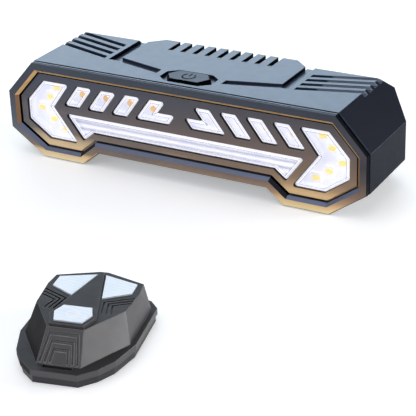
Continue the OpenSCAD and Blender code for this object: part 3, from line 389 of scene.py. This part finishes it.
def guide_material():
    """Clear light guide with fine lines along its length."""
    paint = Paint("guide_lines", Roughness=0.2)
    wave = paint.node("ShaderNodeTexWave", bands_direction="Z")
    paint.link(paint.place, wave.inputs["Vector"])
    wave.inputs["Scale"].default_value = 150
    wave.inputs["Distortion"].default_value = 0.6
    soft = paint.noise(5, 2, (0.15, 1, 1))
    lines = paint.spread(paint.times(wave.outputs["Fac"], soft), 0, 0.45)
    paint.set("Base Color", paint.mix(lines, srgb(196, 198, 222), srgb(254, 254, 255)))
    # Painted light: the guide glows a little, more on its lines
    paint.set("Emission Color", srgb(252, 252, 255))
    paint.set("Emission Strength", paint.spread(lines, 0, 1, 0.3, 0.6))
    paint.set("Normal", paint.relief(wave.outputs["Fac"], 0.08))
    return paint.mat


def key_material(centre=None):
    """Pale key film with faint lines, and on the middle key a faint ring."""
    paint = Paint("key_film" if centre is None else "key_film_ring", Roughness=0.35)
    wave = paint.node("ShaderNodeTexWave", bands_direction="Y")
    paint.link(paint.place, wave.inputs["Vector"])
    wave.inputs["Scale"].default_value = 260
    wave.inputs["Distortion"].default_value = 1.5
    wave.inputs["Detail"].default_value = 2
    lines = paint.spread(wave.outputs["Fac"], 0, 1, 0.0, 0.35)
    color = paint.mix(paint.math("ADD", lines, paint.spread(paint.noise(4, 3), 0.3, 0.7, 0, 0.5)),
                      srgb(214, 223, 235), srgb(236, 240, 247))
    if centre is not None:
        away = paint.node("ShaderNodeVectorMath", operation="DISTANCE")
        paint.link(paint.place, away.inputs[0])
        away.inputs[1].default_value = centre
        ring = between(paint, away.outputs["Value"], 1.3 * MM, 1.6 * MM, 0.2 * MM)
        color = paint.mix(paint.times(ring, 0.5), color, srgb(244, 240, 240))
    paint.set("Base Color", color)
    paint.set("Normal", paint.relief(wave.outputs["Fac"], 0.01))
    return paint.mat


def board_material(name, color, copper, glow=0.0):
    """Solder mask over faint copper tracks."""
    paint = Paint(name, Roughness=0.35, Emission_Color=color, Emission_Strength=glow)
    grid = paint.node("ShaderNodeTexBrick")
    paint.link(paint.place, grid.inputs["Vector"])
    grid.inputs["Scale"].default_value = 420
    grid.inputs["Mortar Size"].default_value = 0.03
    paint.set("Base Color", paint.mix(grid.outputs["Fac"], color, copper))
    paint.set("Normal", paint.relief(grid.outputs["Fac"], 0.03))
    return paint.mat


def metal(name, color, rough, brushed=(1, 1, 1)):
    """Bare metal with fine streaks along the axis whose number in brushed is lowest."""
    paint = Paint(name, Metallic=1.0)
    normal, _ = paint.rounded(0.12)
    streaks = paint.noise(0.5, 4, brushed)
    paint.set("Base Color", paint.mix(paint.spread(streaks, 0.3, 0.7), darker(color, 0.8), color))
    paint.set("Roughness", paint.spread(streaks, 0.3, 0.7, rough - 0.06, rough + 0.08))
    paint.set("Normal", paint.relief(streaks, 0.01, normal))
    return paint.mat


# The edge colours below are partly wear and partly painted highlight
body = moulded("body_slate", body_color, 0.36, srgb(150, 166, 190), mottle=0.02, radius=0.2,
               spread=0.015, painted_shade_reach=0.9)
button = moulded("button_slate", button_color, 0.4, srgb(96, 108, 130), mottle=0.02, radius=0.12)
mark = moulded("mark_dark", srgb(6, 7, 9), 0.7, srgb(20, 22, 26), Metallic=0.8)
bezel = moulded("bezel_bronze", bezel_color, 0.36, None, radius=0.16, spread=0.02)
panel = moulded("panel_bronze", panel_color, 0.42, srgb(150, 140, 136), mottle=0.03, radius=0.14)
charcoal = moulded("remote_charcoal", remote_color, 0.42, srgb(170, 166, 166), mottle=0.02,
                   radius=0.2, painted_shade_reach=0.6, Specular_IOR_Level=0.9)
base = moulded("remote_base_black", srgb(44, 44, 48), 0.45, srgb(110, 108, 108))
cover = moulded("cover_grained", srgb(46, 48, 54), 0.55, srgb(88, 92, 102), grain=0.5,
                grain_depth=0.04)
rubber = moulded("rubber_black", srgb(24, 24, 26), 0.7, srgb(44, 44, 48), grain=0.1)
red_rubber = moulded("seal_red", srgb(150, 36, 28), 0.55, srgb(180, 70, 60))
foam = moulded("pad_foam", srgb(60, 60, 62), 0.95, None, grain=0.6, grain_depth=0.2)
inner = moulded("inner_nylon", srgb(58, 60, 64), 0.6, srgb(84, 86, 90))
ivory = moulded("plunger_ivory", srgb(228, 222, 200), 0.5, srgb(244, 240, 226))
chip = moulded("chip_epoxy", srgb(34, 34, 37), 0.6, srgb(60, 60, 64), grain=0.2, grain_depth=0.02)
wrap = moulded("cell_wrap", srgb(36, 92, 160), 0.35, srgb(70, 120, 190), Coat_Weight=0.4)
insulation = moulded("lead_silicone", srgb(170, 30, 26), 0.45, srgb(200, 70, 60))
steel = metal("steel_plated", srgb(206, 206, 212), 0.28)
coin = metal("coin_steel", srgb(214, 214, 218), 0.24, (1, 8, 1))
brass = metal("brass_turned", srgb(206, 168, 96), 0.3, (1, 1, 6))
contact = metal("contact_nickel", srgb(206, 198, 176), 0.3, (6, 1, 1))
clear = lens_material()
guide = guide_material()
# Painted light: the reflector, light packages and phosphors glow a little
cups = glowing("reflector_white", srgb(240, 241, 250), srgb(240, 242, 255), 0.54, 0.3)
package = glowing("led_package", srgb(242, 242, 248), srgb(248, 248, 252), 0.5)
amber = glowing("phosphor_amber", srgb(255, 232, 136), srgb(255, 232, 130), 0.6)
orange = glowing("phosphor_orange", srgb(255, 204, 126), srgb(255, 200, 120), 0.5)
# The brake lights show nearly white behind the light guide, as in the photo
red = glowing("phosphor_red", srgb(248, 244, 250), srgb(255, 252, 255), 0.4)
# Painted light: the white board glows a little
white_board = board_material("board_white", srgb(240, 240, 246), srgb(232, 232, 240), 0.5)
green_board = board_material("board_green", srgb(22, 84, 52), srgb(44, 118, 74))
key = key_material()
mode_key = key_material(top_centre("remote_key_mode"))

FINISH = {
    "housing": body, "front_bezel": bezel, "front_seal": rubber, "face_panel": panel,
    "arrow_lens_left": clear, "arrow_lens_right": clear, "sequence_lenses_left": clear,
    "sequence_lenses_right": clear, "hook_lenses": clear, "bar_lens": clear, "bar_light_guide": guide,
    "reflector": cups, "light_board": white_board, "turn_leds_left": package,
    "turn_leds_right": package, "sequence_leds": package, "brake_leds": package,
    "board_screws": steel, "control_chip": chip, "radio_module": green_board, "driver_chips": chip,
    "power_switch": steel, "switch_plunger": ivory, "power_button": button, "button_seal": rubber,
    "battery_cell": wrap, "battery_contacts": contact, "battery_tray": inner, "battery_pad": foam,
    "battery_leads": insulation, "charge_board": green_board, "charge_chip": chip,
    "usb_socket": steel, "charge_leads": insulation, "rear_seal": rubber, "rear_cover": cover,
    "rear_screws": steel, "mount_inserts": brass, "usb_flap": rubber,
    "remote_base": base, "remote_cover": charcoal, "remote_key_left": key, "remote_key_right": key,
    "remote_key_mode": mode_key, "remote_plunger_left": ivory, "remote_plunger_right": ivory,
    "remote_plunger_mode": ivory, "remote_switches": steel, "remote_board": green_board,
    "remote_chip": chip, "remote_leds": package, "remote_coin_cell": coin, "remote_cell_clips": brass,
    "remote_battery_door": base, "remote_door_seal": red_rubber, "remote_screws": steel,
}
for name, material in FINISH.items():
    slots = NODES[name].data.materials
    slots.clear()
    slots.append(material)
    if material is clear:
        # Light falls through the lenses on to what lies behind them
        NODES[name].visible_shadow = False


# Pieces that the CAD leaves to looks
def new_piece(name, mesh, material, body_name):
    """An object from a bmesh, which rides on a body of the frame."""
    data = bpy.data.meshes.new(name)
    mesh.to_mesh(data)
    mesh.free()
    data.materials.append(material)
    data.shade_smooth()
    data.set_sharp_from_angle(angle=math.radians(35))
    made = bpy.data.objects.new(name, data)
    bpy.context.scene.collection.objects.link(made)
    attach(made, body_name)


def islands(node):
    """The box of each separate solid in a CAD node."""
    mesh = bmesh.new()
    mesh.from_mesh(NODES[node].data)
    bmesh.ops.remove_doubles(mesh, verts=mesh.verts, dist=1e-6)
    left, found = set(mesh.verts), []
    while left:
        stack, group = [left.pop()], []
        while stack:
            vert = stack.pop()
            group.append(vert.co.copy())
            for edge in vert.link_edges:
                other = edge.other_vert(vert)
                if other in left:
                    left.remove(other)
                    stack.append(other)
        found.append([(min(p[i] for p in group), max(p[i] for p in group)) for i in range(3)])
    mesh.free()
    return sorted(found)


def lathe(mesh, profile, centre, axis, sides=28):
    """Turns (radius, height) pairs round an axis through centre. The first and last radius are 0."""
    turn = Vector((0, 0, 1)).rotation_difference(Vector(axis)).to_matrix()
    rings = []
    for radius, height in profile:
        angles = [math.tau * k / sides for k in range(sides if radius else 1)]
        rings.append([mesh.verts.new(Vector(centre) + turn @ Vector(
            (radius * math.cos(angle), radius * math.sin(angle), height))) for angle in angles])
    for a, b in zip(rings, rings[1:]):
        for k in range(sides):
            corners = [a[k % len(a)], a[(k + 1) % len(a)], b[(k + 1) % len(b)], b[k % len(b)]]
            unique = list(dict.fromkeys(corners))
            if len(unique) > 2:
                mesh.faces.new(unique)
    bmesh.ops.recalc_face_normals(mesh, faces=mesh.faces)


def phosphors(node, material, share, height_mm, name, flatten=1.0):
    """A low dome of phosphor on the front of every light package of a node.

    share is the dome's part of the package's width, and flatten its height over its width as seen
    from the front.
    """
    mesh = bmesh.new()
    foot, height = -0.02 * MM, height_mm * MM
    for (x0, x1), (y0, _), (z0, z1) in islands(node):
        radius = share * min(x1 - x0, z1 - z0) / 2
        middle = (z0 + z1) / 2
        before = set(mesh.verts)
        profile = [(0, foot), (radius, foot), (radius, 0.35 * height), (0.86 * radius, 0.72 * height),
                   (0.5 * radius, 0.95 * height), (0, height)]
        lathe(mesh, profile, ((x0 + x1) / 2, y0, middle), (0, -1, 0))
        for vert in set(mesh.verts) - before:
            vert.co.z = middle + flatten * (vert.co.z - middle)
    new_piece(name, mesh, material, "lamp_body")


phosphors("turn_leds_left", amber, 0.86, 0.3, "turn_phosphor_left", 0.68)
phosphors("turn_leds_right", amber, 0.86, 0.3, "turn_phosphor_right", 0.68)
phosphors("sequence_leds", orange, 0.78, 0.3, "sequence_phosphor")
phosphors("brake_leds", red, 0.8, 0.06, "brake_phosphor")


def power_mark():
    """A generic standby sign, raised a hair from the button: an open ring with a stroke in its gap."""
    centre = top_centre("power_button")
    rise, sunk = 0.06, -0.05
    outer, inner_edge, gap, steps = 2.15, 1.73, 38, 32
    mesh = bmesh.new()

    def raised(outline):
        top, foot = ([mesh.verts.new(centre + Vector((x, y, z)) * MM) for x, y in outline]
                     for z in (rise, sunk))
        mesh.faces.new(top)
        mesh.faces.new(foot[::-1])
        for k in range(len(top)):
            j = (k + 1) % len(top)
            mesh.faces.new([foot[k], foot[j], top[j], top[k]])

    angles = [math.radians(90 + gap + (360 - 2 * gap) * k / steps) for k in range(steps + 1)]
    for a, b in zip(angles, angles[1:]):
        raised([(reach * math.cos(angle), reach * math.sin(angle)) for reach, angle in
                ((outer, a), (outer, b), (inner_edge, b), (inner_edge, a))])
    raised([(-0.2, 0.1), (0.2, 0.1), (0.2, 2.2), (-0.2, 2.2)])
    bmesh.ops.remove_doubles(mesh, verts=mesh.verts, dist=1e-7)
    new_piece("standby_mark", mesh, mark, "power_button")


power_mark()

# Stage, camera and light
# The camera was fitted to the corners of the lamp in the photo, which is a square
PHOTO_PX, FOCAL_PX, SENSOR_MM = 416, 1450.02, 36
CAMERA_PLACE = (0.2006, LAMP_FRONT - 0.3323, 0.18265)
CAMERA_AZIMUTH, CAMERA_ELEVATION, CAMERA_ROLL = (math.radians(v) for v in (29.916, 26.174, -2.185))


def stage_floor():
    """A white floor just under the feet, which looks brighter than it is but casts no light of its own.

    The extra brightness is only seen by the camera, in reflections and through the lenses.
    """
    half, level = 3.0, -0.05 * MM
    corners = [(-half, -half, level), (half, -half, level), (half, half, level), (-half, half, level)]
    mesh = bpy.data.meshes.new("floor")
    mesh.from_pydata(corners, [], [(0, 1, 2, 3)])
    floor = bpy.data.objects.new("floor", mesh)
    bpy.context.scene.collection.objects.link(floor)
    mat = bpy.data.materials.new("floor_white")
    mat.use_nodes = True
    tree = mat.node_tree
    tree.nodes.clear()
    white = tree.nodes.new("ShaderNodeBsdfDiffuse")
    white.inputs["Color"].default_value = (0.86, 0.86, 0.86, 1)
    glow = tree.nodes.new("ShaderNodeEmission")
    glow.inputs["Color"].default_value = (1, 1, 1, 1)
    glow.inputs["Strength"].default_value = 0.35
    both = tree.nodes.new("ShaderNodeAddShader")
    tree.links.new(white.outputs[0], both.inputs[0])
    tree.links.new(glow.outputs[0], both.inputs[1])
    path = tree.nodes.new("ShaderNodeLightPath")
    seen = path.outputs["Is Camera Ray"]
    for kind in ("Is Glossy Ray", "Is Transmission Ray"):
        either = tree.nodes.new("ShaderNodeMath")
        either.operation = "MAXIMUM"
        tree.links.new(seen, either.inputs[0])
        tree.links.new(path.outputs[kind], either.inputs[1])
        seen = either.outputs[0]
    mix = tree.nodes.new("ShaderNodeMixShader")
    tree.links.new(seen, mix.inputs[0])
    tree.links.new(white.outputs[0], mix.inputs[1])
    tree.links.new(both.outputs[0], mix.inputs[2])
    tree.links.new(mix.outputs[0], tree.nodes.new("ShaderNodeOutputMaterial").inputs[0])
    mesh.materials.append(mat)


def photo_camera():
    """The camera that was fitted to the photograph's lamp."""
    sine, cosine = math.sin(CAMERA_AZIMUTH), math.cos(CAMERA_AZIMUTH)
    level = math.cos(CAMERA_ELEVATION)
    ahead = Vector((-sine * level, cosine * level, -math.sin(CAMERA_ELEVATION)))
    right = Vector((cosine, sine, 0))
    up = right.cross(ahead)
    across = math.cos(CAMERA_ROLL) * right + math.sin(CAMERA_ROLL) * up
    upward = math.cos(CAMERA_ROLL) * up - math.sin(CAMERA_ROLL) * right
    data = bpy.data.cameras.new("photo_camera")
    data.sensor_width = SENSOR_MM
    data.lens = SENSOR_MM * FOCAL_PX / PHOTO_PX
    data.clip_start = 0.01
    camera = bpy.data.objects.new("photo_camera", data)
    bpy.context.scene.collection.objects.link(camera)
    turn = Matrix((across, upward, -ahead)).transposed().to_4x4()
    camera.matrix_world = Matrix.Translation(CAMERA_PLACE) @ turn
    bpy.context.scene.camera = camera


def softbox(name, place, target, size, radiance, color=(1, 1, 1)):
    """A rectangular area light that looks radiance bright from the object."""
    data = bpy.data.lights.new(name, "AREA")
    data.shape = "RECTANGLE"
    data.size, data.size_y = size
    data.color = color
    data.energy = radiance * math.pi * size[0] * size[1]
    lamp = bpy.data.objects.new(name, data)
    bpy.context.scene.collection.objects.link(lamp)
    lamp.location = place
    lamp.rotation_euler = (Vector(target) - Vector(place)).to_track_quat("-Z", "Y").to_euler()
    lamp.visible_camera = False


def sky():
    """A soft grey surround, which darkens towards the direction behind the lamp's right end."""
    dark_side = Vector((0.62, 0.72, 0.3)).normalized()
    world = bpy.data.worlds.new("studio")
    bpy.context.scene.world = world
    world.use_nodes = True
    tree = world.node_tree
    tree.nodes.clear()
    out = tree.nodes.new("ShaderNodeOutputWorld")
    back = tree.nodes.new("ShaderNodeBackground")
    place = tree.nodes.new("ShaderNodeTexCoord")
    dot = tree.nodes.new("ShaderNodeVectorMath")
    dot.operation = "DOT_PRODUCT"
    dot.inputs[1].default_value = dark_side
    tree.links.new(place.outputs["Generated"], dot.inputs[0])
    ramp = tree.nodes.new("ShaderNodeValToRGB")
    tree.links.new(dot.outputs["Value"], ramp.inputs["Fac"])
    first, last = ramp.color_ramp.elements
    first.position, first.color = 0.35, (0.55, 0.57, 0.62, 1)
    last.position, last.color = 0.8, (0.04, 0.042, 0.05, 1)
    tree.links.new(ramp.outputs["Color"], back.inputs["Color"])
    back.inputs["Strength"].default_value = 0.9
    tree.links.new(back.outputs[0], out.inputs[0])


stage_floor()
photo_camera()
sky()
softbox("back_softbox", (-0.34, 0.62, 0.36), (0, 0.03, 0.02), (0.62, 0.42), 3.0, (0.74, 0.91, 1.0))
softbox("top_softbox", (-0.05, -0.1, 0.9), (0, 0, 0), (0.9, 0.9), 0.85)
softbox("front_softbox", (-0.55, -0.75, 0.4), (0, 0, 0.01), (0.6, 0.5), 1.6, (1.0, 0.98, 0.95))
softbox("right_softbox", (0.47, 0.2, 0.13), (0.03, -0.05, 0.01), (0.3, 0.16), 12.0)

scene = bpy.context.scene
scene.view_settings.view_transform = "Standard"
